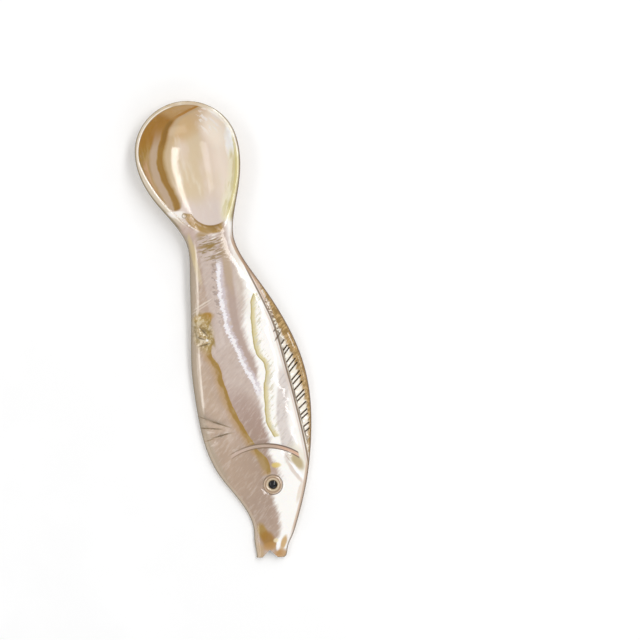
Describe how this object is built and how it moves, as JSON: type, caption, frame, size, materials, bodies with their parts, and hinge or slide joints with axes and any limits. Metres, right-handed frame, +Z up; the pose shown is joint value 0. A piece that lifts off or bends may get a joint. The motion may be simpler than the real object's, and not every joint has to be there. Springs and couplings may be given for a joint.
{
  "type": "fish-shaped pearl-shell caviar spoon",
  "caption": "Short caviar spoon carved from one piece of pearl shell as a fish, with an oval bowl at the tail end and a black bead eye.",
  "frame": {"origin": "on the table under the middle of the spoon's length and width", "axes": "+Y along the spoon from the fish's mouth to the tip of the bowl, +Z up out of the hollow, +X to the fish's back"},
  "size_m": [0.0322, 0.1156, 0.007],
  "materials": {
    "pearl_shell": "polished mother of pearl",
    "black_bead": "polished black"
  },
  "bodies": {
    "root": {"spoon": "pearl_shell", "eye_pupil": "black_bead"}
  },
  "joints": []
}
